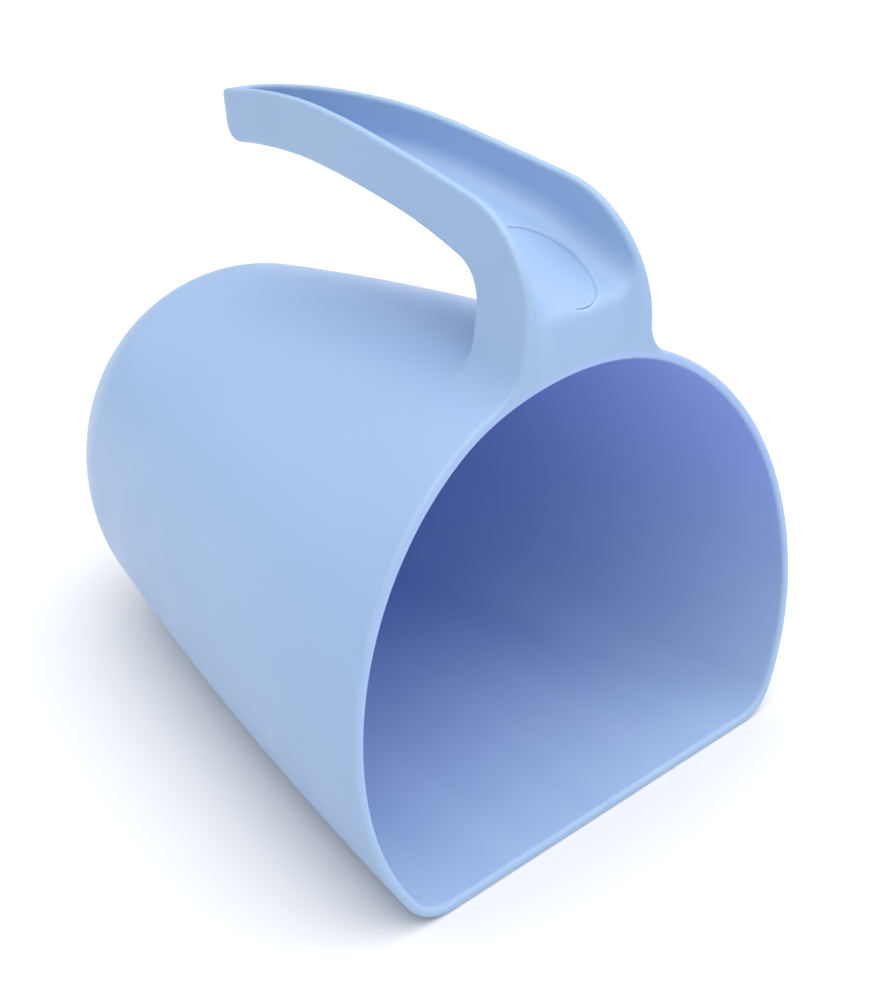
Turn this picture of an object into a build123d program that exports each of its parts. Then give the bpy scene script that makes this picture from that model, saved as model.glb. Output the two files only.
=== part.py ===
"""Feed scoop: a D-mouthed moulded bowl with a curved channel handle over it.

The scoop stands on its flat floor. +Z is up, +Y runs from the mouth to the closed end, and +X is
to the right when looking into the mouth. It is drawn from the middle of the lower lip's underside
and written from the middle of its footprint.
The real scoop is one moulding: its regions are made here as solids that meet face to face.
"""

from build123d import *
from math import atan, atan2, cos, degrees, radians, sin, sqrt, tan
import os

os.makedirs("parts", exist_ok=True)

# --- Bowl, mm ---------------------------------------------------------------------------------
LENGTH = 220.2            # lower lip to the rearmost point of the closed end
WALL = 2.9                # even wall of the moulding
MOUTH_LEAN = 8.6          # degrees that the mouth leans back from upright
DOME_DEPTH = 51.9         # length of the rounded closed end
# Outline at the mouth and at the closed end: half width, height, height of the widest point,
# radius of the side, radius of the lower corner.
MOUTH_OUTLINE = (85.0, 132.8, 45.7, 72.9, 16.1)
END_OUTLINE = (51.2, 110.3, 57.8, 60.5, 35.6)
BARREL_WIDTH = 4.3        # how far the sides bow out half way along
BARREL_HEIGHT = 3.7       # how far the roof bows up half way along
RIM_DEPTH = 6.0           # band behind the mouth that forms the rim
FLOOR_AT_MOUTH = 60.0     # half width of the flat floor at the lip
FLOOR_AT_END = 19.0       # and where the rounded end starts

DOME_START_Y = LENGTH - DOME_DEPTH
# Outlines as shares of the length: one in front of the lip, so that cuts run clear of the mouth.
BODY_STATIONS = (-0.06, 0.0, 0.25, 0.5, DOME_START_Y / LENGTH)
DOME_ANGLES = (0, 16, 32, 48, 62, 74, 83)  # degrees round the closed end

# --- Handle, mm; points are (y, z) on the middle plane -----------------------------------------
LIP_LEVEL = 126.0                # the stem's front leaves the mouth's plane here
STEM_FRONT = (17.4, 139.0)       # top of the straight front of the stem
BEND_TOP = (43.5, 170.6)         # where the bend runs out into the grip
BEND_PULLS = ((15.4, 155.5), (25.5, 166.2))  # control points of the bend's curve
GRIP_CREST = (117.9, 179.9)      # highest point of the grip
TIP_TOP = (172.0, 175.1)
TIP_CORNER = 6.0                 # radius under the tip
UNDERSIDE_RADIUS = 272.6
UNDERSIDE_CENTRE = (119.9, -107.5)
REAR_BEND_RADIUS = 12.3          # inside of the bend, over the fingers
STEM_REAR_Y = 37.0               # straight rear of the stem
STEM_FOOT = 8.0                  # radius where the stem runs out into the roof
FOOT_LEVEL = 112.0               # inside the roof everywhere under the stem
FLANGE = 2.9                     # thickness of the channel's two walls
WEB = 2.9                        # thickness of the channel's floor
RAMP_TOP = (47.0, 158.2)         # channel floor from here down to the stem's front
RAMP_FOOT = (21.0, 146.0)
# Half width of the handle across planes that swing from the stem round to the grip.
STEM_WIDTHS = ((112.0, 44.0), (122.0, 33.0), (128.0, 26.8), (135.0, 24.2))
SWING_CENTRE = (60.0, 135.0)
SWING_WIDTHS = ((30.0, 20.6), (60.0, 17.6), (90.0, 16.0))
GRIP_WIDTHS = ((95.0, 13.4), (130.0, 9.4), (158.0, 6.3), (175.0, 5.0))
BAR_MIDDLE = 32.0                # bars across the handle reach from 2 to 62 from the swing line
BAR_DEPTH = 60.0
NOSE_START_Y = 158.5             # the tip is rounded from here, seen from above
NOSE_HALF_WIDTH = 6.6
NOSE_LENGTH = 11.5

# --- Thumb pad and where the regions meet ------------------------------------------------------
PAD_HALF_WIDTH = 11.2
PAD_HALF_LENGTH = 15.5
PAD_CENTRE_Y = 34.2
PAD_RECESS = 0.8
PAD_THICKNESS = 0.9
NECK_END_Y = 56.0
TIP_START_Y = 148.0

CLEAR = 100.0                    # reach of cutting forms past what they cut


def mix(station, first, last):
    return first + (last - first) * station


def lean_at(station):
    """Lean of the outline's plane: the mouth's own at the lip, upright at the closed end."""
    return atan((1 - station) * tan(radians(MOUTH_LEAN)))


def outline_plane(station):
    lean = lean_at(station)
    return Plane(origin=(0, station * LENGTH, 0), x_dir=(1, 0, 0), z_dir=(0, -cos(lean), sin(lean)))


def draw_outline(station, inset=0.0, scale=1.0):
    """Sketch the bowl's outline at a station, moved in by inset and drawn to its own middle."""
    sizes = [mix(station, a, b) for a, b in zip(MOUTH_OUTLINE, END_OUTLINE)]
    bow = 4 * station * (1 - station)
    half_width = sizes[0] + BARREL_WIDTH * bow
    height = sizes[1] + BARREL_HEIGHT * bow
    spring, side, corner = sizes[2:]
    side_x = half_width - side
    corner_x = side_x + sqrt((side - corner) ** 2 - (spring - corner) ** 2)
    turn = degrees(atan2(corner - spring, corner_x - side_x))
    middle = height / 2

    def level(v):
        return middle + (v - middle) * scale

    with BuildSketch(outline_plane(station)) as outline:
        with BuildLine():
            EllipticalCenterArc(
                (0, level(spring)), (half_width - inset) * scale, (height - spring - inset) * scale,
                start_angle=0, arc_size=180,
            )
            CenterArc((side_x * scale, level(spring)), (side - inset) * scale, 0, turn)
            CenterArc((-side_x * scale, level(spring)), (side - inset) * scale, 180, -turn)
            right_corner = CenterArc(
                (corner_x * scale, level(corner)), (corner - inset) * scale, turn, -90 - turn
            )
            left_corner = CenterArc(
                (-corner_x * scale, level(corner)), (corner - inset) * scale, 180 - turn, 90 + turn
            )
            Line(right_corner @ 1, left_corner @ 1)
        make_face()
    return outline.sketch


def body_outlines(inset):
    """Outlines from in front of the mouth to where the rounded end starts."""
    return [draw_outline(station, inset) for station in BODY_STATIONS]


def dome_outlines(inset):
    """Outlines that close in round the end."""
    outlines = []
    for angle in DOME_ANGLES:
        reach = DOME_START_Y + (DOME_DEPTH - inset) * sin(radians(angle))
        outlines.append(draw_outline(reach / LENGTH, inset, cos(radians(angle))))
    return outlines


mouth_plane = outline_plane(0.0)
rim_plane = mouth_plane.offset(-RIM_DEPTH)

with BuildPart() as body_form:
    loft(body_outlines(0.0))

with BuildPart() as shell:
    add(body_form.part)
    loft(body_outlines(WALL), mode=Mode.SUBTRACT)
    split(bisect_by=mouth_plane, keep=Keep.BOTTOM)

# --- The bowl's four regions -------------------------------------------------------------------
with BuildPart() as mouth_rim:
    add(shell.part)
    split(bisect_by=rim_plane, keep=Keep.TOP)

with BuildPart() as barrel:
    add(shell.part)
    split(bisect_by=rim_plane, keep=Keep.BOTTOM)

with BuildPart() as bowl_end:
    loft(dome_outlines(0.0))
    loft(dome_outlines(WALL), mode=Mode.SUBTRACT)

with BuildPart() as floor_form:
    with BuildSketch(Plane.XY):
        with BuildLine():
            Polyline(
                (-FLOOR_AT_MOUTH, 0), (FLOOR_AT_MOUTH, 0), (FLOOR_AT_END, DOME_START_Y),
                (-FLOOR_AT_END, DOME_START_Y), close=True,
            )
        make_face()
    extrude(amount=WALL)

with BuildPart() as floor_cutter:
    with BuildSketch(Plane.XY.offset(-WALL)):
        add(floor_form.faces().sort_by(Axis.Z)[0])
    extrude(amount=3 * WALL)

with BuildPart() as bowl_floor:
    add(floor_form.part)
    split(bisect_by=rim_plane, keep=Keep.BOTTOM)

with BuildPart() as bowl_wall:
    add(barrel.part)
    add(floor_cutter.part, mode=Mode.SUBTRACT)

# --- Handle blank: side profile, narrowed to its width -------------------------------------------


def underside_z(y, web=0.0):
    """Height of the grip's underside, or of a line web above it."""
    radius = UNDERSIDE_RADIUS + web
    return UNDERSIDE_CENTRE[1] + sqrt(radius ** 2 - (y - UNDERSIDE_CENTRE[0]) ** 2)


def front_of_mouth(z):
    return z * tan(radians(MOUTH_LEAN))


def tangent_to_underside(y, radius):
    """Centre at y of a circle that touches the underside, and where it does: below it where
    radius is negative."""
    reach = UNDERSIDE_RADIUS + radius
    rise = sqrt(reach ** 2 - (y - UNDERSIDE_CENTRE[0]) ** 2)
    share = UNDERSIDE_RADIUS / reach
    touch = (
        UNDERSIDE_CENTRE[0] + (y - UNDERSIDE_CENTRE[0]) * share, UNDERSIDE_CENTRE[1] + rise * share
    )
    return (y, UNDERSIDE_CENTRE[1] + rise), touch


bend_centre, bend_start = tangent_to_underside(STEM_REAR_Y + REAR_BEND_RADIUS, -REAR_BEND_RADIUS)
tip_centre, tip_touch = tangent_to_underside(TIP_TOP[0] - TIP_CORNER, TIP_CORNER)
lip_front = (front_of_mouth(LIP_LEVEL), LIP_LEVEL)
roof_level = MOUTH_OUTLINE[1] * cos(radians(MOUTH_LEAN))
foot_y = STEM_REAR_Y + STEM_FOOT

with BuildPart() as side_form:
    with BuildSketch(Plane.YZ):
        with BuildLine():
            Line((front_of_mouth(FOOT_LEVEL), FOOT_LEVEL), lip_front)
            Line(lip_front, STEM_FRONT)
            Bezier(STEM_FRONT, *BEND_PULLS, BEND_TOP)
            ThreePointArc(BEND_TOP, GRIP_CREST, TIP_TOP)
            tip_end = Line(TIP_TOP, (TIP_TOP[0], tip_centre[1]))
            TangentArc(tip_end @ 1, tip_touch, tangent=tip_end % 1)
            ThreePointArc(tip_touch, (GRIP_CREST[0], underside_z(GRIP_CREST[0])), bend_start)
            stem_rear = Line((STEM_REAR_Y, bend_centre[1]), (STEM_REAR_Y, roof_level + STEM_FOOT))
            TangentArc(stem_rear @ 0, bend_start, tangent=(0, 1))
            foot = RadiusArc(stem_rear @ 1, (foot_y, roof_level), -STEM_FOOT)
            Polyline(foot @ 1, (foot_y, FOOT_LEVEL), (front_of_mouth(FOOT_LEVEL), FOOT_LEVEL))
        make_face()
    extrude(amount=CLEAR, both=True)


def swing_plane(angle):
    """Plane through the swing line: level across the stem at 0, upright across the grip at 90."""
    turn = radians(angle)
    return Plane(
        origin=(0, SWING_CENTRE[0], SWING_CENTRE[1]), x_dir=(1, 0, 0),
        z_dir=(0, sin(turn), cos(turn)),
    )


def width_bars(inset):
    """Bars across the handle that set its width, each side moved in by inset."""
    planes = [(swing_plane(0).offset(z - SWING_CENTRE[1]), w) for z, w in STEM_WIDTHS]
    planes += [(swing_plane(angle), w) for angle, w in SWING_WIDTHS]
    planes += [(swing_plane(90).offset(y - SWING_CENTRE[0]), w) for y, w in GRIP_WIDTHS]
    bars = []
    for plane, half_width in planes:
        with BuildSketch(plane) as bar:
            with Locations((0, -BAR_MIDDLE)):
                Rectangle(2 * (half_width - inset), BAR_DEPTH)
        bars.append(bar.sketch)
    return bars


def nose_sketch(inset):
    """Plan view that rounds the tip, moved in by inset."""
    with BuildSketch(Plane.XY.offset(FOOT_LEVEL)) as nose:
        with Locations((0, NOSE_START_Y)):
            Ellipse(NOSE_HALF_WIDTH - inset, NOSE_LENGTH - inset)
        with Locations((0, NOSE_START_Y / 2)):
            Rectangle(CLEAR, NOSE_START_Y)
    return nose.sketch


with BuildPart() as handle_blank:
    add(side_form.part)
    loft(width_bars(0.0), mode=Mode.INTERSECT)
    extrude(nose_sketch(0.0), amount=CLEAR, mode=Mode.INTERSECT)
    add(body_form.part, mode=Mode.SUBTRACT)

# --- Channel ---------------------------------------------------------------------------------
ramp_fall = (RAMP_TOP[1] - RAMP_FOOT[1]) / (RAMP_TOP[0] - RAMP_FOOT[0])
ramp_exit = (0.0, RAMP_TOP[1] - ramp_fall * RAMP_TOP[0])
above_handle = GRIP_CREST[1] + CLEAR

with BuildPart() as channel_form:
    with BuildSketch(Plane.YZ):
        with BuildLine():
            Line(ramp_exit, RAMP_TOP)
            ThreePointArc(
                RAMP_TOP, (GRIP_CREST[0], underside_z(GRIP_CREST[0], WEB)),
                (TIP_TOP[0], underside_z(TIP_TOP[0], WEB)),
            )
            Line((TIP_TOP[0], underside_z(TIP_TOP[0], WEB)), (TIP_TOP[0], above_handle))
            Line((TIP_TOP[0], above_handle), (0.0, above_handle))
            Line((0.0, above_handle), ramp_exit)
        make_face()
    extrude(amount=CLEAR, both=True)
    loft(width_bars(FLANGE), mode=Mode.INTERSECT)
    extrude(nose_sketch(FLANGE), amount=CLEAR, mode=Mode.INTERSECT)

with BuildPart() as handle:
    add(handle_blank.part)
    add(channel_form.part, mode=Mode.SUBTRACT)

# --- Handle regions and the thumb pad ------------------------------------------------------------
neck_plane = Plane.XZ.offset(-NECK_END_Y)
tip_plane = Plane.XZ.offset(-TIP_START_Y)
ramp_angle = atan(ramp_fall)
pad_centre_z = RAMP_TOP[1] - ramp_fall * (RAMP_TOP[0] - PAD_CENTRE_Y)
pad_plane = Plane(
    origin=(0, PAD_CENTRE_Y, pad_centre_z), x_dir=(1, 0, 0),
    z_dir=(0, -sin(ramp_angle), cos(ramp_angle)),
)

with BuildPart() as thumb_pad:
    with BuildSketch(pad_plane.offset(-PAD_RECESS)):
        Ellipse(PAD_HALF_WIDTH, PAD_HALF_LENGTH)
    extrude(amount=-PAD_THICKNESS)

with BuildPart() as handle_neck:
    add(handle.part)
    split(bisect_by=neck_plane, keep=Keep.TOP)
    with BuildSketch(pad_plane.offset(-PAD_RECESS - PAD_THICKNESS)):
        Ellipse(PAD_HALF_WIDTH, PAD_HALF_LENGTH)
    extrude(amount=CLEAR, mode=Mode.SUBTRACT)

with BuildPart() as handle_grip:
    add(handle.part)
    split(bisect_by=neck_plane, keep=Keep.BOTTOM)
    split(bisect_by=tip_plane, keep=Keep.TOP)

with BuildPart() as handle_tip:
    add(handle.part)
    split(bisect_by=tip_plane, keep=Keep.BOTTOM)

# The finished scoop's origin is the middle of its footprint, at the level it stands on.
rear_y_reach = DOME_START_Y + DOME_DEPTH * sin(radians(DOME_ANGLES[-1]))
to_footprint = Location((0, -rear_y_reach / 2, 0))

# --- Write each region ---------------------------------------------------------------------------
regions = {
    "mouth_rim": mouth_rim,
    "bowl_wall": bowl_wall,
    "bowl_floor": bowl_floor,
    "bowl_end": bowl_end,
    "handle_neck": handle_neck,
    "handle_grip": handle_grip,
    "handle_tip": handle_tip,
    "thumb_pad": thumb_pad,
}
for name, region in regions.items():
    region.part.locate(to_footprint)
    region.part.label = name
    export_step(region.part, f"parts/{name}.step")
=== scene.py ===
"""Looks of the feed scoop: one smooth moulding, cut into seven regions, and its thumb pad.

The moulding is an implicit solid. Lengths in the shape code are millimetres, with y measured from
the lower lip, +Y towards the closed end and +Z up. The meshes are made in metres, in the frame's
own place.
"""

import math

import bmesh
import bpy
import numpy as np
from mathutils import Matrix, Vector


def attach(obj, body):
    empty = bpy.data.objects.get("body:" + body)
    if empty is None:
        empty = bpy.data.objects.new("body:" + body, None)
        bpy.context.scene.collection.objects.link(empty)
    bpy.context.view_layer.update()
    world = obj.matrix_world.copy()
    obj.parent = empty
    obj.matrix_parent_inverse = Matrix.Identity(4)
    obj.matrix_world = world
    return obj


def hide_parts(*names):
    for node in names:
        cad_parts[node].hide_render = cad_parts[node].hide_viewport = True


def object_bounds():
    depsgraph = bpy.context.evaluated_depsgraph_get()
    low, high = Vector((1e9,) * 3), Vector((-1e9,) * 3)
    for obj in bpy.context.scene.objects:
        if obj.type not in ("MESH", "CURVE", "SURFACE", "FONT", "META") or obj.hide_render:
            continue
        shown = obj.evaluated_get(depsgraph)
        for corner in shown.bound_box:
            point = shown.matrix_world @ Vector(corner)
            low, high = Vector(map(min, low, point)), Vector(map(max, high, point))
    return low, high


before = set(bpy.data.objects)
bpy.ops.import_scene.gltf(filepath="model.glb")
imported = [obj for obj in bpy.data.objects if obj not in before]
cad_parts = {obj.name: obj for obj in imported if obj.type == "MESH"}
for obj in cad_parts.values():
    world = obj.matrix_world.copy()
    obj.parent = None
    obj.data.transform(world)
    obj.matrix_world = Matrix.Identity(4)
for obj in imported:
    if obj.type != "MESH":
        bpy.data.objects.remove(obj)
cad_low, cad_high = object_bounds()

MM = 0.001
LIP_Y = cad_low.y / MM                    # y of the lower lip in the frame

# --- Bowl, mm -------------------------------------------------------------------------------
LENGTH = 220.2
WALL = 2.9
LEAN = math.radians(8.6)                  # the mouth leans back
DOME_DEPTH = 51.9
DOME_START = LENGTH - DOME_DEPTH
# half width, height, height of the widest point, radius of the side, radius of the lower corner
MOUTH_OUTLINE = (85.0, 132.8, 45.7, 72.9, 16.1)
END_OUTLINE = (51.2, 110.3, 57.8, 60.5, 35.6)
BARREL_WIDTH = 4.3                        # how far the bowl swells between its two outlines
BARREL_HEIGHT = 3.7
RIM_DEPTH = 6.0
FLOOR_AT_MOUTH = 60.0                     # half width of the flat floor
FLOOR_AT_END = 19.0
FLOOR_TOP = 3 * WALL                      # the floor is all below this level
LIP_ROUND = 1.15                          # rounding of the rim's and the flanges' edges

# --- Handle, mm -----------------------------------------------------------------------------
FRONT_LEAVES_MOUTH = 117.0                # level where the stem's front leaves the mouth's plane
FRONT_HOLLOW = (17.9, 127.1)
FRONT_TOP = (17.0, 137.3)
BEND_TOP = (42.9, 170.7)
GRIP_SHOULDER = (82.0, 177.5)
TIP_TOP = (168.5, 176.3)
TIP_CORNER = 7.0
TIP_SLANT = math.radians(12)              # the tip's end face leans back under the hand
UNDERSIDE_RADIUS = 272.3
UNDERSIDE_CENTRE = (119.9, -107.5)
REAR_Y = 38.5
REAR_BEND_RADIUS = 11.0
STEM_BOTTOM = 110.0                       # inside the cavity everywhere under the stem
FOOT_ROUND = 6.5                          # fillet where the stem stands on the roof
UNDER_ROUND = 1.1                         # rounding of the handle's lower edges
FLANGE = 2.8
WEB = 2.9
DRAFT = 0.012
DRAFT_DEPTH = 30.0                        # the draft goes no deeper than this
CHANNEL_ROUND = 0.42                      # channel's corner radius as a share of its half width
HOLLOW_START = (12.1, 108.0)              # in front of the stem; its line goes in at the brow
BROW_LOW = (18.0, 141.6)
BROW_HIGH = (21.6, 146.1)
RAMP_TOP = (43.0, 156.07)
CHANNEL_START_Y = 49.2                    # from here the channel's floor follows the underside
BROW_LIP = 1.2                            # how much softer the channel's edges are at the brow
BROW_LEVELS = (139.0, 152.0)              # levels between which that softness fades out
SWING_CENTRE = (75.0, 100.0)              # widths are measured round this point up to the grip
SWING_REACH = 70.0
HALF_WIDTHS = ((-25, 29.0), (-5, 25.2), (5, 23.5), (14, 21.8), (23, 20.4), (41, 18.2), (65, 16.1),
               (82, 15.1), (101, 13.2), (121, 10.4), (142, 8.0), (162, 6.0), (180, 5.0))
NOSE = (162.5, 9.0)                       # start and length of the sides' rounding to the tip
HOLLOW_NOSE = (152.0, 10.0)               # the same for the channel
RUN_OUT = 60.0                            # how far the outlines run on past the moulding
RUN_OUT_FALL = 30.0                       # the front's outline falls this far past the tip

# --- Thumb pad, mm --------------------------------------------------------------------------
PAD_HALF_WIDTH = 11.2
PAD_HALF_LENGTH = 15.8
PAD_MIDDLE_Y = 33.9
PAD_RECESS = 0.85                         # how far its top lies below the ramp
PAD_THICKNESS = 0.4
PAD_LIP = 1.4                             # rounding of the recess's edge
PAD_GAP = 0.05                            # left between the pad and the recess's bottom
PAD_OVERLAP = 0.12                        # how far its edge is let into the neck
PAD_SEGMENTS = 96
PAD_RINGS = (0.25, 0.5, 0.75, 0.92, 1.0)

# --- Where the pieces meet, mm --------------------------------------------------------------
NECK_FOOT = 133.0                         # level where the neck stands on the bowl
NECK_END = 56.0
TIP_START = 148.0
SCORE_BAND = 4.0                          # a plane scores only the faces this near to it
SCORE_SNAP = 1e-4
NEAR = 2e-3                               # a point this near to a plane lies on it

# --- Surface, mm ----------------------------------------------------------------------------
FINE, COARSE = 0.8, 1.3
# spans of the grid: start, end and step
GRID_ACROSS = ((-FINE / 2, 28.0, FINE), (28.0, 86.7, COARSE))
GRID_ALONG = ((-6.4, 8.0, 0.6), (8.0, 62.0, 1.0), (62.0, 222.0, 1.8))
GRID_UP = ((-1.4, 120.0, COARSE), (120.0, 183.0, FINE))
LONGEST_MOVE = 0.6                        # of a point in one round of settling
LEAST_SLOPE = 0.05                        # keeps that move finite where the distance is flat
SLOPE_STEP = 0.02
NORMAL_STEP = 0.01
FAR = 1e9
TINY = 1e-6
ATOM = 1e-9
STRAIGHT = 1e-5                           # an arc that turns less than this is a line

# --- Painted light, mm ----------------------------------------------------------------------
MOUTH_LIGHT_HEIGHT = 75.0
MOUTH_LIGHT_LENGTH = 230.0
EDGE_REACH = 0.5                          # how far from a point its curvature is sampled
EDGE_START = 0.3                          # share of EDGE_BEND at which an edge starts to pale
EDGE_BEND = 0.9                           # curvature, per mm, that sets the scale of the painted edge highlight

# --- Material -------------------------------------------------------------------------------
OUTSIDE_DEEP, OUTSIDE_PALE = (0.306, 0.452, 0.698), (0.328, 0.477, 0.722)
# painted bounce light: the cavity is bluer and brighter than the outside, standing in for light
# bouncing between its walls
CAVITY_BOUNCE_DEEP, CAVITY_BOUNCE_PALE = (0.365, 0.480, 0.915), (0.385, 0.500, 0.930)
# painted light: a greyer, less blue floor by the mouth, where light comes in
MOUTH_LIGHT_DEEP, MOUTH_LIGHT_PALE = (0.350, 0.485, 0.715), (0.375, 0.510, 0.735)
# painted highlight: paler colour on the tight outer edges
EDGE_HIGHLIGHT = (0.385, 0.545, 0.735)
COLOUR_STOPS = (0.35, 0.65)
# noise textures: scale, detail and stretch
FLOW_MARKS = (14, 3, (1, 0.45, 1))
GRAIN = (2600, 2, (1, 1, 1))
MOUTH_LIGHT_MARKS = (55, 5, (1, 0.2, 1))
EDGE_HIGHLIGHT_MARKS = (130, 3, (1, 1, 1))
GLOSS_MARKS = (60, 4, (1, 1, 1))
NOISE_SPAN = (0.3, 0.7)                   # nearly all of a noise lies in here
EDGE_HIGHLIGHT_SHARES = (0.25, 0.75)
ROUGHNESS = (0.31, 0.40)
BUMP_STRENGTH = 0.06
BUMP_DISTANCE = 0.0002
PLASTIC_IOR = 1.49
PLASTIC_SPECULAR = 0.35

# --- Floor, light and camera ----------------------------------------------------------------
FLOOR_SHADE = 0.84
FLOOR_ROUGHNESS = 0.9
FLOOR_REACH = 6.0
ROOM_AT_HORIZON = 0.31
ROOM_OVERHEAD = 1.12
BACKDROP = 1.05                           # the room as it is seen past the floor's edge
LIGHT_SOFTNESS = math.radians(80)
KEY_STRENGTH = 1.75
KEY_FROM = (0.05, -0.1, 1.0)
FILL_STRENGTH = 0.9
FILL_FROM = (0.95, -0.35, 0.1)
CAMERA_AZIMUTH, CAMERA_ELEVATION, CAMERA_ROLL = -41.47, 27.30, -0.15
CAMERA_LENS = 50.0
CAMERA_CLIP_START = 0.01
CAMERA_DISTANCE = 0.4263
CAMERA_AIM = (0.00830, -0.02561, -0.02654)    # from the middle of the scoop's box


def mix(share, first, last):
    return first + (last - first) * share


# --- Chains of lines and arcs in the y, z plane ---------------------------------------------

def chain(start, heading, points):
    """Arcs through the points, each leaving in the direction that the one before arrived in."""
    arcs = []
    here = np.array(start, float)
    way = np.array([math.sin(heading), math.cos(heading)])
    for point in points:
        there = np.array(point, float)
        chord = there - here
        span = np.hypot(*chord)
        turn = math.atan2(way[0] * chord[1] - way[1] * chord[0], way @ chord)
        arcs.append((here, way, turn, span))
        along = chord / span
        way = 2 * (way @ along) * along - way
        here = there
    return arcs


def chain_distance(y, z, arcs):
    """Signed distance to the chain: positive on the left of its direction."""
    nearest = np.full(np.broadcast(y, z).shape, FAR)
    signed = nearest.copy()
    for here, way, turn, span in arcs:
        if abs(turn) < STRAIGHT:
            share = np.clip(((y - here[0]) * way[0] + (z - here[1]) * way[1]) / span, 0, 1)
            off_y = y - here[0] - way[0] * span * share
            off_z = z - here[1] - way[1] * span * share
            tan_y, tan_z = way
        else:
            radius = span / (2 * math.sin(turn))
            centre = here + radius * np.array([-way[1], way[0]])
            side = math.copysign(1.0, radius)
            out = (here - centre) / abs(radius)
            ref = math.atan2(out[1], out[0])
            angle = side * (np.arctan2(z - centre[1], y - centre[0]) - ref)
            angle = (angle - abs(turn) + math.pi) % (2 * math.pi) - math.pi + abs(turn)
            angle = ref + side * np.clip(angle, 0, 2 * abs(turn))
            off_y = y - centre[0] - abs(radius) * np.cos(angle)
            off_z = z - centre[1] - abs(radius) * np.sin(angle)
            tan_y, tan_z = -side * np.sin(angle), side * np.cos(angle)
        distance = np.hypot(off_y, off_z)
        sign = np.where(tan_y * off_z - tan_z * off_y > 0, 1.0, -1.0)
        closer = distance < nearest
        signed = np.where(closer, sign * distance, signed)
        nearest = np.where(closer, distance, nearest)
    return signed


def underside(y, above=0.0):
    """Level of the handle's underside, or of an arc that runs above it."""
    across = y - UNDERSIDE_CENTRE[0]
    return UNDERSIDE_CENTRE[1] + math.sqrt((UNDERSIDE_RADIUS + above) ** 2 - across ** 2)


mouth_y = math.tan(LEAN)
FRONT = chain((-RUN_OUT * mouth_y, -RUN_OUT), LEAN,
              [(FRONT_LEAVES_MOUTH * mouth_y, FRONT_LEAVES_MOUTH), FRONT_HOLLOW, FRONT_TOP,
               BEND_TOP, GRIP_SHOULDER, TIP_TOP,
               (TIP_TOP[0] + RUN_OUT, TIP_TOP[1] - RUN_OUT_FALL)])

# the bend between the stem's back and the underside
bend_y = REAR_Y + REAR_BEND_RADIUS
bend_z = underside(bend_y, -REAR_BEND_RADIUS)
to_bend = math.atan2(bend_z - UNDERSIDE_CENTRE[1], bend_y - UNDERSIDE_CENTRE[0])
bend_start = (bend_y + REAR_BEND_RADIUS * math.cos(to_bend),
              bend_z + REAR_BEND_RADIUS * math.sin(to_bend))

# the rounded corner between the tip's end face and the underside
down_tip = np.array([-math.sin(TIP_SLANT), -math.cos(TIP_SLANT)])
in_tip = np.array([down_tip[1], -down_tip[0]])
to_centre = np.array(TIP_TOP) + TIP_CORNER * in_tip - UNDERSIDE_CENTRE
drop = -down_tip @ to_centre - math.sqrt((down_tip @ to_centre) ** 2 - to_centre @ to_centre
                                         + (UNDERSIDE_RADIUS + TIP_CORNER) ** 2)
tip_corner_start = np.array(TIP_TOP) + drop * down_tip
tip_centre = tip_corner_start + TIP_CORNER * in_tip
from_middle = (tip_centre - UNDERSIDE_CENTRE) / (UNDERSIDE_RADIUS + TIP_CORNER)
tip_touch = np.array(UNDERSIDE_CENTRE) + UNDERSIDE_RADIUS * from_middle
tip_above = np.array(TIP_TOP) - RUN_OUT * down_tip

REAR = chain(tip_above, math.pi + TIP_SLANT,
             [tip_corner_start, tip_touch, bend_start, (REAR_Y, bend_z), (REAR_Y, -RUN_OUT)])
HOLLOW = chain(HOLLOW_START,
               math.atan2(BROW_LOW[0] - HOLLOW_START[0], BROW_LOW[1] - HOLLOW_START[1]),
               [BROW_LOW, BROW_HIGH, RAMP_TOP,
                (CHANNEL_START_Y, underside(CHANNEL_START_Y, WEB)),
                (UNDERSIDE_CENTRE[0], underside(UNDERSIDE_CENTRE[0], WEB)),
                (TIP_TOP[0], underside(TIP_TOP[0], WEB))])


# --- Solids as signed distances -------------------------------------------------------------

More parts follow.
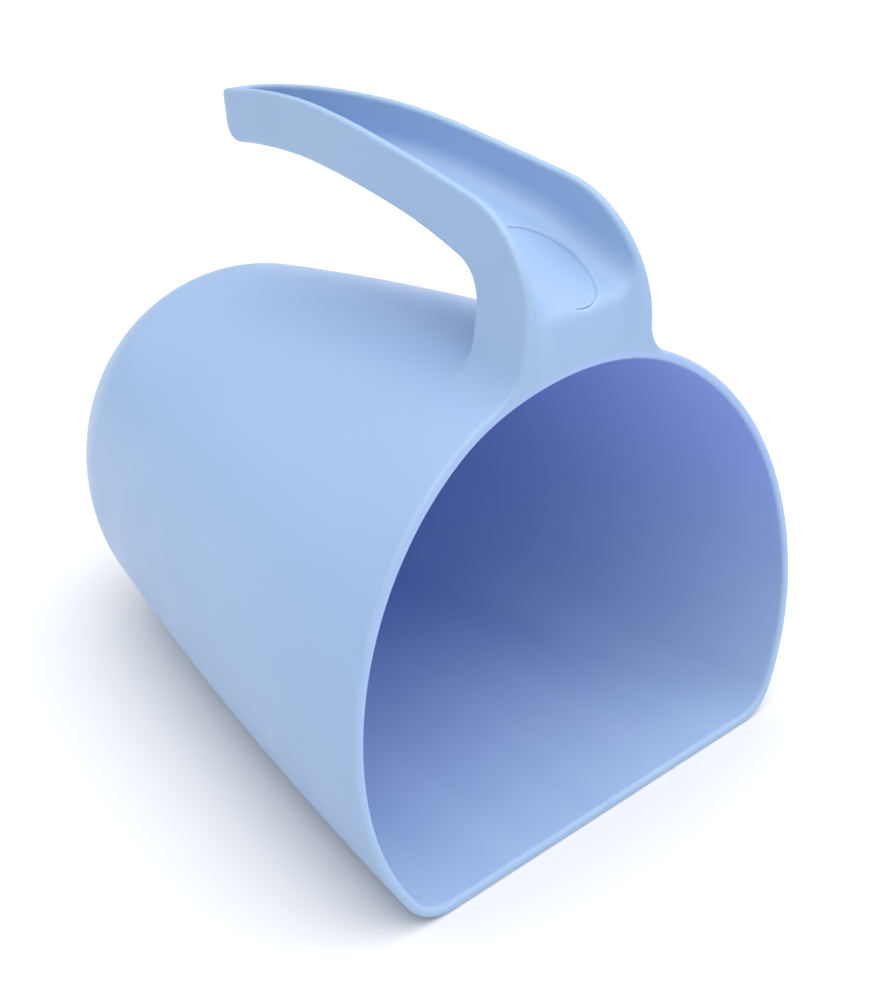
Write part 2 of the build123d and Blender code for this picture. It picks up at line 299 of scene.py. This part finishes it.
def bowl(x, y, z, inset):
    """The bowl's outer form, or its cavity where inset is the wall."""
    slope = math.tan(LEAN)
    station = (y - z * slope) / (LENGTH - z * slope)
    lean = np.arctan((1 - station) * slope)
    v = z / np.cos(lean)
    sizes = [mix(station, a, b) for a, b in zip(MOUTH_OUTLINE, END_OUTLINE)]
    bow = 4 * station * (1 - station)
    half_width = sizes[0] + BARREL_WIDTH * bow
    height = sizes[1] + BARREL_HEIGHT * bow
    spring, side, corner = sizes[2:]
    side_x = half_width - side
    corner_x = side_x + np.sqrt((side - corner) ** 2 - (spring - corner) ** 2)
    middle = height / 2
    px = np.abs(x)
    pv = v - middle
    reach = np.hypot(px, pv) + ATOM
    ux, uv = px / reach, pv / reach

    def ray_to_circle(cx, cv, radius):
        along = ux * cx + uv * cv
        inner = radius ** 2 - cx ** 2 - cv ** 2 + along ** 2
        return along + np.sqrt(np.maximum(inner, 0))

    # the outline is an elliptic roof, a side arc, a corner arc and a flat floor: hit each of them
    wide, tall = half_width - inset, height - spring - inset
    cv = spring - middle
    a = (ux / wide) ** 2 + (uv / tall) ** 2
    b = uv * cv / tall ** 2
    c = (cv / tall) ** 2 - 1
    hit_roof = (b + np.sqrt(np.maximum(b ** 2 - a * c, 0))) / a
    hit_side = ray_to_circle(side_x, cv, side - inset)
    hit_corner = ray_to_circle(corner_x, corner - middle, corner - inset)
    hit_floor = (middle - inset) / np.maximum(-uv, TINY)
    turn = np.arctan2(corner - spring, corner_x - side_x)
    angle = np.arctan2(pv, px)
    roof_from = np.arctan2(cv, wide)
    side_from = np.arctan2(corner - middle + (corner - inset) * np.sin(turn),
                           corner_x + (corner - inset) * np.cos(turn))
    corner_from = np.arctan2(inset - middle, corner_x)
    on_roof, on_side, on_corner = angle >= roof_from, angle >= side_from, angle >= corner_from

    def by_part(roof, beside, low_corner, floor):
        below = np.where(on_corner, low_corner, floor)
        return np.where(on_roof, roof, np.where(on_side, beside, below))

    hit = by_part(hit_roof, hit_side, hit_corner, hit_floor)
    hx, hv = hit * ux, hit * uv
    nx = by_part(hx / wide ** 2, hx - side_x, hx - corner_x, 0.0)
    nv = by_part((hv - cv) / tall ** 2, hv - cv, hv - (corner - middle), -1.0)
    size = np.hypot(nx, nv)
    facing = (hx * nx + hv * nv) / size
    gauge = reach / hit
    depth = DOME_DEPTH - inset
    end = np.maximum(station * LENGTH - DOME_START, 0) / depth
    share = np.hypot(gauge, end)
    return (share - 1) * share / np.hypot(gauge / facing, end / depth)


def round_join(a, b, radius):
    """Union with a fillet."""
    fillet = np.hypot(np.maximum(radius - a, 0), np.maximum(radius - b, 0))
    return np.maximum(np.minimum(a, b), radius) - fillet


def round_cut(a, b, radius):
    """Intersection with a rounded edge."""
    rounding = np.hypot(np.maximum(radius + a, 0), np.maximum(radius + b, 0))
    return np.minimum(np.maximum(a, b), -radius) + rounding


def smooth_through(u, knots):
    """Cubic curve through the knots with even slopes."""
    at = np.array([k[0] for k in knots], float)
    to = np.array([k[1] for k in knots], float)
    slope = np.gradient(to, at)
    i = np.clip(np.searchsorted(at, u) - 1, 0, len(at) - 2)
    gap = at[i + 1] - at[i]
    t = np.clip((u - at[i]) / gap, 0, 1)
    return ((2 * t ** 3 - 3 * t ** 2 + 1) * to[i] + (t ** 3 - 2 * t ** 2 + t) * gap * slope[i]
            + (3 * t ** 2 - 2 * t ** 3) * to[i + 1] + (t ** 3 - t ** 2) * gap * slope[i + 1])


def travel(y, z):
    """How far along the handle a point is: round the bend by angle, then straight along y."""
    angle = np.arctan2(z - SWING_CENTRE[1], SWING_CENTRE[0] - y)
    round_bend = SWING_CENTRE[0] - SWING_REACH * (math.pi / 2 - angle)
    return np.where(y < SWING_CENTRE[0], round_bend, y)


def flank(x, y, half_width, nose):
    """Distance outside the handle's side, which rounds off to the tip in plan."""
    x = np.maximum(np.abs(x), TINY)
    nose_start, nose_length = nose
    past = np.maximum(y - nose_start, 0) / nose_length
    share = np.hypot(x / half_width, past)
    return (share - 1) * share / np.hypot(x / half_width ** 2, past / nose_length)


ramp_slope = math.atan2(RAMP_TOP[1] - BROW_HIGH[1], RAMP_TOP[0] - BROW_HIGH[0])
pad_middle_z = BROW_HIGH[1] + math.tan(ramp_slope) * (PAD_MIDDLE_Y - BROW_HIGH[0])


def oval(x, y, z):
    """Distance outside the thumb pad's oval, in the ramp's plane."""
    x = np.maximum(np.abs(x), TINY)
    along = (y - PAD_MIDDLE_Y) * math.cos(ramp_slope) + (z - pad_middle_z) * math.sin(ramp_slope)
    share = np.hypot(x / PAD_HALF_WIDTH, along / PAD_HALF_LENGTH)
    slope = np.hypot(x / PAD_HALF_WIDTH ** 2, along / PAD_HALF_LENGTH ** 2)
    return (share - 1) * share / slope


def scoop(x, y, z):
    """The whole moulding."""
    front = chain_distance(y, z, FRONT)
    rear = chain_distance(y, z, REAR)
    floor = chain_distance(y, z, HOLLOW)
    half_width = smooth_through(travel(y, z), HALF_WIDTHS)
    depth = np.clip(-front, 0, DRAFT_DEPTH)
    outside = flank(x, y, half_width - DRAFT * depth, NOSE)
    handle = np.maximum(round_cut(outside, rear, UNDER_ROUND), STEM_BOTTOM - z)
    solid = round_join(handle, bowl(x, y, z, 0.0), FOOT_ROUND)
    solid = round_cut(solid, front, LIP_ROUND)
    inner = half_width - FLANGE - DRAFT * depth
    hollow = round_cut(flank(x, y, inner, HOLLOW_NOSE), -floor, CHANNEL_ROUND * inner)
    rise = np.clip((z - BROW_LEVELS[0]) / (BROW_LEVELS[1] - BROW_LEVELS[0]), 0, 1)
    solid = round_cut(solid, -hollow, LIP_ROUND + BROW_LIP * (1 - rise ** 2 * (3 - 2 * rise)))
    recess = np.maximum(oval(x, y, z), -floor - PAD_RECESS - PAD_THICKNESS)
    solid = round_cut(solid, -recess, PAD_LIP)
    return round_cut(solid, -bowl(x, y, z, WALL), LIP_ROUND)


# --- Surface of an implicit solid -----------------------------------------------------------

def axis(spans):
    """Grid lines from spans of (start, end, step)."""
    lines = [np.arange(start, end - step / 2, step) for start, end, step in spans]
    return np.concatenate(lines + [[spans[-1][1]]])


def surface_net(value, point_at):
    """Quads of the zero surface: one point in each cell that it crosses.

    Also says which points lie in the first layer of cells, at the middle plane.
    """
    nx, ny, nz = value.shape
    inside = value < 0
    cells = np.zeros((nx - 1, ny - 1, nz - 1), int)
    corners = [(i, j, k) for i in (0, 1) for j in (0, 1) for k in (0, 1)]
    for i, j, k in corners:
        cells += inside[i:nx - 1 + i, j:ny - 1 + j, k:nz - 1 + k]
    at = np.argwhere((cells > 0) & (cells < len(corners)))
    number = np.full(cells.shape, -1)
    number[tuple(at.T)] = np.arange(len(at))
    total = np.zeros((len(at), 3))
    count = np.zeros((len(at), 1))
    for p in corners:
        for way in range(3):
            if p[way]:
                continue
            q = tuple(c + (n == way) for n, c in enumerate(p))
            a, b = at + p, at + q
            va, vb = value[tuple(a.T)], value[tuple(b.T)]
            crossed = (va < 0) != (vb < 0)
            share = np.where(crossed, va / np.where(crossed, va - vb, 1), 0)[:, None]
            crossing = point_at(a) * (1 - share) + point_at(b) * share
            total += np.where(crossed[:, None], crossing, 0)
            count += crossed[:, None]
    points = total / count
    quads = []
    for way in range(3):
        u, v = (way + 1) % 3, (way + 2) % 3
        low = [slice(None)] * 3
        high = [slice(None)] * 3
        low[way], high[way] = slice(0, -1), slice(1, None)
        change = np.argwhere(inside[tuple(low)] != inside[tuple(high)])
        change = change[(change[:, u] > 0) & (change[:, v] > 0)]
        step_u, step_v = np.eye(3, dtype=int)[u], np.eye(3, dtype=int)[v]
        ring = [change - step_u - step_v, change - step_v, change, change - step_u]
        ids = np.stack([number[tuple(r.T)] for r in ring], 1)
        flip = ~inside[tuple(change.T)]
        ids[flip] = ids[flip][:, ::-1]
        quads.append(ids)
    return points, np.concatenate(quads), at[:, 0] == 0


def gradient(solid, points, value, step):
    return np.stack([(solid(*(points + way).T) - value) / step for way in np.eye(3) * step], 1)


def settle(solid, points, middle, rounds):
    """Move points straight onto the surface; those of the middle plane stay on it."""
    for _ in range(rounds):
        value = solid(*points.T)
        slope = gradient(solid, points, value, SLOPE_STEP)
        steepness = np.maximum((slope ** 2).sum(1, keepdims=True), LEAST_SLOPE)
        move = value[:, None] * slope / steepness
        length = np.linalg.norm(move, axis=1, keepdims=True)
        points = points - move * np.minimum(1, LONGEST_MOVE / np.maximum(length, ATOM))
        points[middle, 0] = 0
    return points


def even_out(solid, points, quads, middle, rounds=3):
    """Slide points along the surface towards their neighbours' middle."""
    edges = np.concatenate([quads[:, [i, (i + 1) % 4]] for i in range(4)])
    degree = np.bincount(edges.ravel(), minlength=len(points))[:, None]
    for _ in range(rounds):
        total = np.zeros_like(points)
        for i in range(3):
            total[:, i] = (np.bincount(edges[:, 0], points[edges[:, 1], i], len(points))
                           + np.bincount(edges[:, 1], points[edges[:, 0], i], len(points)))
        points = settle(solid, mix(0.5, points, total / degree), middle, 1)
    return settle(solid, points, middle, 2)


grid_x, grid_s, grid_z = axis(GRID_ACROSS), axis(GRID_ALONG), axis(GRID_UP)


def leaning(along, z):
    """The y of a grid point: the grid's planes lean with the bowl's outlines."""
    return along + z * (1 - along / LENGTH) * mouth_y


def grid_point(index):
    x, along, z = grid_x[index[:, 0]], grid_s[index[:, 1]], grid_z[index[:, 2]]
    return np.stack([x, leaning(along, z), z], 1)


def mirrored(points, quads, middle):
    """Both halves from the half at x >= 0, sharing the middle plane's points."""
    apart = ~middle
    other = np.arange(len(points))
    other[apart] = len(points) + np.arange(apart.sum())
    both = np.concatenate([points, points[apart] * (-1, 1, 1)])
    return both, np.concatenate([quads, other[quads][:, ::-1]])


all_z = grid_z[None, None, :]
all_y = leaning(grid_s[None, :, None], all_z)
points, quads, middle = surface_net(scoop(grid_x[:, None, None], all_y, all_z), grid_point)
points = even_out(scoop, settle(scoop, points, middle, 3), quads, middle)
points, quads = mirrored(points, quads, middle)


# --- Score the surface along the region planes, and share it out ----------------------------
# each plane is a point on it and the direction that it faces
RIM_BACK = ((0, RIM_DEPTH / math.cos(LEAN), 0), (0, math.cos(LEAN), -math.sin(LEAN)))
NECK_BOTTOM = ((0, 0, NECK_FOOT), (0, 0, 1))
NECK_BACK = ((0, NECK_END, 0), (0, 1, 0))
TIP_FRONT = ((0, TIP_START, 0), (0, 1, 0))
END_FRONT = ((0, DOME_START, 0), (0, 1, 0))
floor_taper = (FLOOR_AT_MOUTH - FLOOR_AT_END) / DOME_START
FLOOR_SIDES = [((side * FLOOR_AT_MOUTH, 0, 0), (side, floor_taper, 0)) for side in (-1, 1)]
CUTS = {
    "mouth_rim": [RIM_BACK, NECK_BOTTOM],
    "bowl_wall": [RIM_BACK, NECK_BOTTOM, END_FRONT, *FLOOR_SIDES],
    "bowl_floor": [RIM_BACK, END_FRONT, *FLOOR_SIDES],
    "bowl_end": [END_FRONT],
    "handle_neck": [NECK_BOTTOM, NECK_BACK],
    "handle_grip": [NECK_BACK, TIP_FRONT],
    "handle_tip": [TIP_FRONT],
}


def ahead(plane, place):
    """How far a point is past a plane, in the direction that the plane faces."""
    co, no = Vector(plane[0]), Vector(plane[1]).normalized()
    return (Vector(place) - co).dot(no)


def region_of(place):
    if place.z > NECK_FOOT:
        if ahead(NECK_BACK, place) < 0:
            return "handle_neck"
        return "handle_grip" if ahead(TIP_FRONT, place) < 0 else "handle_tip"
    if ahead(RIM_BACK, place) < 0:
        return "mouth_rim"
    if ahead(END_FRONT, place) > 0:
        return "bowl_end"
    over_floor = place.z < FLOOR_TOP and all(ahead(side, place) < 0 for side in FLOOR_SIDES)
    return "bowl_floor" if over_floor else "bowl_wall"


def corners_of(faces):
    """The faces' vertices, each once, in a fixed order."""
    return list(dict.fromkeys(v for f in faces for v in f.verts))


def score(bm, plane, within):
    """Add edges where the plane crosses the faces that are within its own stretch."""
    faces = [f for f in bm.faces if within(f.calc_center_bounds())]
    edges = list(dict.fromkeys(e for f in faces for e in f.edges))
    bmesh.ops.bisect_plane(bm, geom=corners_of(faces) + edges + faces, dist=SCORE_SNAP,
                           plane_co=plane[0], plane_no=Vector(plane[1]).normalized())


def cap(bm, planes):
    """Close a piece with a flat face on each cut. Cuts that meet share a straight edge."""
    border = [e for e in bm.edges if e.is_boundary]
    flat = [[e for e in border if all(abs(ahead(p, v.co)) < NEAR for v in e.verts)]
            for p in planes]
    joined = {}
    for n, edges in enumerate(flat):
        count = {}
        for e in edges:
            for v in e.verts:
                count[v] = count.get(v, 0) + 1
        ends = [v for v, times in count.items() if times % 2]
        for m, other in enumerate(planes):
            pair = [v for v in ends if m != n and abs(ahead(other, v.co)) < NEAR]
            if len(pair) == 2 and frozenset((n, m)) not in joined:
                joined[frozenset((n, m))] = bm.edges.new(pair)
    for n, edges in enumerate(flat):
        loop = edges + [e for pair, e in joined.items() if n in pair]
        if loop:
            made = bmesh.ops.triangle_fill(bm, use_beauty=True, edges=loop, normal=planes[n][1])
            for face in made["geom"]:
                if isinstance(face, bmesh.types.BMFace):
                    face.smooth = False


# painted bounce light: weight of the cavity's bluer, brighter colour
def cavity_bounce_weight(places):
    """One on the cavity's wall, none outside, changing over the lip."""
    return np.clip(0.5 - bowl(*places.T, WALL / 2) / WALL, 0, 1)


# painted light: weight of the lit floor colour, from the mouth inwards
def mouth_light_weight(places):
    """One on the floor by the mouth, fading up the walls and towards the closed end."""
    low = np.clip(1 - places[:, 2] / MOUTH_LIGHT_HEIGHT, 0, 1)
    near = np.clip(1 - places[:, 1] / MOUTH_LIGHT_LENGTH, 0, 1)
    return np.sqrt(low * near)


# painted highlight: weight of the pale colour on the tight outer edges
def edge_highlight_weight(places):
    """One on the tight outer edges, none on flat or hollow places, from the curvature."""
    ways = np.concatenate([np.eye(3), -np.eye(3)]) * EDGE_REACH
    bend = sum(scoop(*(places + way).T) for way in ways) - len(ways) * scoop(*places.T)
    return np.clip(bend / EDGE_REACH ** 2 / EDGE_BEND - EDGE_START, 0, 1)


def read(items, label, width, kind=float):
    """One property of a mesh's vertices, faces or corners, as rows of the given width."""
    values = np.empty(len(items) * width, kind)
    items.foreach_get(label, values)
    return values.reshape(-1, width) if width > 1 else values


def finish_piece(bm, name, material):
    """Mesh object in metres at the frame's place, with the moulding's own normals on its skin."""
    bmesh.ops.recalc_face_normals(bm, faces=bm.faces)
    mesh = bpy.data.meshes.new(name)
    bm.to_mesh(mesh)
    bm.free()
    places = read(mesh.vertices, "co", 3)
    slopes = gradient(scoop, places, scoop(*places.T), NORMAL_STEP)
    slopes /= np.linalg.norm(slopes, axis=1, keepdims=True)
    sizes = read(mesh.polygons, "loop_total", 1, int)
    owner = np.repeat(np.arange(len(sizes)), sizes)
    smooth = read(mesh.polygons, "use_smooth", 1, bool)[owner]
    normals = np.where(smooth[:, None], slopes[read(mesh.loops, "vertex_index", 1, int)],
                       read(mesh.polygons, "normal", 3)[owner])
    # vertex weights of painted light: bounce light in the cavity, light on the floor by the
    # mouth, highlights on the tight edges
    for label, worth in (("inside", cavity_bounce_weight), ("mouth_light", mouth_light_weight), ("edge", edge_highlight_weight)):
        made = mesh.attributes.new(label, "FLOAT", "POINT")
        made.data.foreach_set("value", worth(places).astype(np.float32))
    mesh.transform(Matrix.Translation((0, LIP_Y * MM, 0)) @ Matrix.Scale(MM, 4))
    mesh.normals_split_custom_set(normals)
    piece = bpy.data.objects.new(name + "_skin", mesh)
    bpy.context.collection.objects.link(piece)
    mesh.materials.append(material)
    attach(piece, "root")
    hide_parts(name)


# --- Material -------------------------------------------------------------------------------

def moulded_plastic():
    """Satin polypropylene: faint flow marks, fine grain, painted bounce light in the cavity,
    painted light on the floor by the mouth and painted highlights on the edges.
    """
    material = bpy.data.materials.new("moulded_plastic")
    material.use_nodes = True
    nodes, links = material.node_tree.nodes, material.node_tree.links
    shader = nodes["Principled BSDF"]
    where = nodes.new("ShaderNodeTexCoord")

    def noise(scale, detail, stretch):
        mapping = nodes.new("ShaderNodeMapping")
        mapping.inputs["Scale"].default_value = stretch
        texture = nodes.new("ShaderNodeTexNoise")
        texture.inputs["Scale"].default_value = scale
        texture.inputs["Detail"].default_value = detail
        links.new(where.outputs["Object"], mapping.inputs["Vector"])
        links.new(mapping.outputs["Vector"], texture.inputs["Vector"])
        return texture.outputs["Fac"]

    def ramp(source, *colours):
        made = nodes.new("ShaderNodeValToRGB")
        for element, at, colour in zip(made.color_ramp.elements, COLOUR_STOPS, colours):
            element.position, element.color = at, (*colour, 1)
        links.new(source, made.inputs["Fac"])
        return made.outputs["Color"]

    def span(source, low, high):
        made = nodes.new("ShaderNodeMapRange")
        made.inputs["From Min"].default_value = NOISE_SPAN[0]
        made.inputs["From Max"].default_value = NOISE_SPAN[1]
        made.inputs["To Min"].default_value = low
        made.inputs["To Max"].default_value = high
        links.new(source, made.inputs["Value"])
        return made.outputs["Result"]

    def painted(name):
        made = nodes.new("ShaderNodeAttribute")
        made.attribute_name = name
        return made.outputs["Fac"]

    def blend(amount, first, second):
        made = nodes.new("ShaderNodeMix")
        made.data_type = "RGBA"
        links.new(amount, made.inputs["Factor"])
        links.new(first, made.inputs["A"])
        if isinstance(second, tuple):
            made.inputs["B"].default_value = (*second, 1)
        else:
            links.new(second, made.inputs["B"])
        return made.outputs["Result"]

    flow = noise(*FLOW_MARKS)
    grain = noise(*GRAIN)
    outside = ramp(flow, OUTSIDE_DEEP, OUTSIDE_PALE)
    # painted light: the floor by the mouth gets the greyer, lit colour, in streaks
    inside = blend(painted("mouth_light"), ramp(flow, CAVITY_BOUNCE_DEEP, CAVITY_BOUNCE_PALE),
                   ramp(noise(*MOUTH_LIGHT_MARKS), MOUTH_LIGHT_DEEP, MOUTH_LIGHT_PALE))
    # painted highlight: the tight outer edges are paled, in patches
    highlight_amount = nodes.new("ShaderNodeMath")
    highlight_amount.operation = "MULTIPLY"
    links.new(painted("edge"), highlight_amount.inputs[0])
    links.new(span(noise(*EDGE_HIGHLIGHT_MARKS), *EDGE_HIGHLIGHT_SHARES), highlight_amount.inputs[1])
    # painted bounce light: the cavity gets the bluer, brighter colour
    before_highlight = blend(painted("inside"), outside, inside)
    links.new(blend(highlight_amount.outputs["Value"], before_highlight, EDGE_HIGHLIGHT), shader.inputs["Base Color"])
    links.new(span(noise(*GLOSS_MARKS), *ROUGHNESS), shader.inputs["Roughness"])
    bump = nodes.new("ShaderNodeBump")
    bump.inputs["Strength"].default_value = BUMP_STRENGTH
    bump.inputs["Distance"].default_value = BUMP_DISTANCE
    links.new(grain, bump.inputs["Height"])
    links.new(bump.outputs["Normal"], shader.inputs["Normal"])
    shader.inputs["IOR"].default_value = PLASTIC_IOR
    shader.inputs["Specular IOR Level"].default_value = PLASTIC_SPECULAR
    return material


plastic = moulded_plastic()


# --- Pieces ---------------------------------------------------------------------------------
whole = bmesh.new()
verts = [whole.verts.new(p) for p in points]
for quad in quads:
    whole.faces.new([verts[i] for i in quad]).smooth = True
whole.normal_update()


def by_bowl(plane, place):
    return place.z < NECK_FOOT and abs(ahead(plane, place)) < SCORE_BAND


def by_handle(plane, place):
    return place.z > NECK_FOOT and abs(ahead(plane, place)) < SCORE_BAND


def by_floor(place):
    return place.z < FLOOR_TOP and ahead(RIM_BACK, place) > 0 and ahead(END_FRONT, place) < 0


score(whole, NECK_BOTTOM, lambda place: abs(place.z - NECK_FOOT) < SCORE_BAND)
for plane in (RIM_BACK, END_FRONT):
    score(whole, plane, lambda place: by_bowl(plane, place))
for plane in FLOOR_SIDES:
    score(whole, plane, by_floor)
for plane in (NECK_BACK, TIP_FRONT):
    score(whole, plane, lambda place: by_handle(plane, place))

faces_of = {name: [] for name in CUTS}
for face in whole.faces:
    faces_of[region_of(face.calc_center_median())].append(face)

for name, faces in faces_of.items():
    part = bmesh.new()
    copies = {v: part.verts.new(v.co) for v in corners_of(faces)}
    for face in faces:
        part.faces.new([copies[v] for v in face.verts]).smooth = True
    cap(part, CUTS[name])
    finish_piece(part, name, plastic)
whole.free()


def thumb_pad():
    """Flat oval that closes the ramp's recess, its edge let into the neck."""
    across = Vector((1, 0, 0))
    slant = Vector((0, math.cos(ramp_slope), math.sin(ramp_slope)))
    up = Vector((0, -math.sin(ramp_slope), math.cos(ramp_slope)))
    middle = Vector((0, PAD_MIDDLE_Y, pad_middle_z)) - up * PAD_RECESS
    part = bmesh.new()

    def ring(share, depth):
        made = []
        for i in range(PAD_SEGMENTS):
            turn = 2 * math.pi * i / PAD_SEGMENTS
            made.append(part.verts.new(
                middle - up * depth
                + across * math.cos(turn) * share * (PAD_HALF_WIDTH + PAD_OVERLAP)
                + slant * math.sin(turn) * share * (PAD_HALF_LENGTH + PAD_OVERLAP)))
        return made

    rings = [ring(share, 0.0) for share in PAD_RINGS]
    rings += [ring(share, PAD_THICKNESS - PAD_GAP) for share in reversed(PAD_RINGS)]
    for lower, upper in zip(rings, rings[1:]):
        for i in range(PAD_SEGMENTS):
            j = (i + 1) % PAD_SEGMENTS
            part.faces.new((lower[i], upper[i], upper[j], lower[j]))
    part.faces.new(rings[0])
    part.faces.new(reversed(rings[-1]))
    for face in part.faces:
        face.smooth = False
    return part


finish_piece(thumb_pad(), "thumb_pad", plastic)


# --- Floor, light and camera ----------------------------------------------------------------

def pale_floor():
    material = bpy.data.materials.new("pale_floor")
    material.use_nodes = True
    shader = material.node_tree.nodes["Principled BSDF"]
    shader.inputs["Base Color"].default_value = (FLOOR_SHADE, FLOOR_SHADE, FLOOR_SHADE, 1)
    shader.inputs["Roughness"].default_value = FLOOR_ROUGHNESS
    shader.inputs["Specular IOR Level"].default_value = 0.0
    mesh = bpy.data.meshes.new("floor")
    corners = [(x * FLOOR_REACH, y * FLOOR_REACH, cad_low.z)
               for x, y in ((-1, -1), (1, -1), (1, 1), (-1, 1))]
    mesh.from_pydata(corners, [], [(0, 1, 2, 3)])
    mesh.materials.append(material)
    floor = bpy.data.objects.new("floor", mesh)
    bpy.context.collection.objects.link(floor)


def studio_light():
    """A white room, brighter overhead, a soft key light from above and a fill into the mouth."""
    world = bpy.data.worlds.new("studio")
    bpy.context.scene.world = world
    world.use_nodes = True
    nodes, links = world.node_tree.nodes, world.node_tree.links
    where = nodes.new("ShaderNodeTexCoord")
    split = nodes.new("ShaderNodeSeparateXYZ")
    height = nodes.new("ShaderNodeMapRange")
    height.inputs["To Min"].default_value = ROOM_AT_HORIZON
    height.inputs["To Max"].default_value = ROOM_OVERHEAD
    links.new(where.outputs["Generated"], split.inputs["Vector"])
    links.new(split.outputs["Z"], height.inputs["Value"])
    seen = nodes.new("ShaderNodeMix")
    seen.inputs["B"].default_value = BACKDROP
    links.new(nodes.new("ShaderNodeLightPath").outputs["Is Camera Ray"], seen.inputs["Factor"])
    links.new(height.outputs["Result"], seen.inputs["A"])
    links.new(seen.outputs["Result"], nodes["Background"].inputs["Strength"])
    nodes["Background"].inputs["Color"].default_value = (1, 1, 1, 1)
    for label, strength, comes_from in (("key", KEY_STRENGTH, KEY_FROM),
                                        ("fill", FILL_STRENGTH, FILL_FROM)):
        light = bpy.data.lights.new(label, "SUN")
        light.energy = strength
        light.angle = LIGHT_SOFTNESS
        lamp = bpy.data.objects.new(label, light)
        lamp.rotation_euler = Vector(comes_from).to_track_quat("Z", "Y").to_euler()
        bpy.context.collection.objects.link(lamp)


def camera():
    """Looks down at the mouth from the left."""
    azimuth, elevation = math.radians(CAMERA_AZIMUTH), math.radians(CAMERA_ELEVATION)
    back = Vector((math.sin(azimuth) * math.cos(elevation),
                   -math.cos(azimuth) * math.cos(elevation), math.sin(elevation)))
    aim = (cad_low + cad_high) / 2 + Vector(CAMERA_AIM)
    data = bpy.data.cameras.new("camera")
    data.lens = CAMERA_LENS
    data.clip_start = CAMERA_CLIP_START
    eye = bpy.data.objects.new("camera", data)
    eye.rotation_mode = "QUATERNION"
    eye.location = aim + back * CAMERA_DISTANCE
    level = (-back).to_track_quat("-Z", "Y").to_matrix()
    roll = Matrix.Rotation(math.radians(CAMERA_ROLL), 3, back)
    eye.rotation_quaternion = (roll @ level).to_quaternion()
    bpy.context.collection.objects.link(eye)
    bpy.context.scene.camera = eye


pale_floor()
studio_light()
camera()
bpy.context.scene.view_settings.view_transform = "Standard"
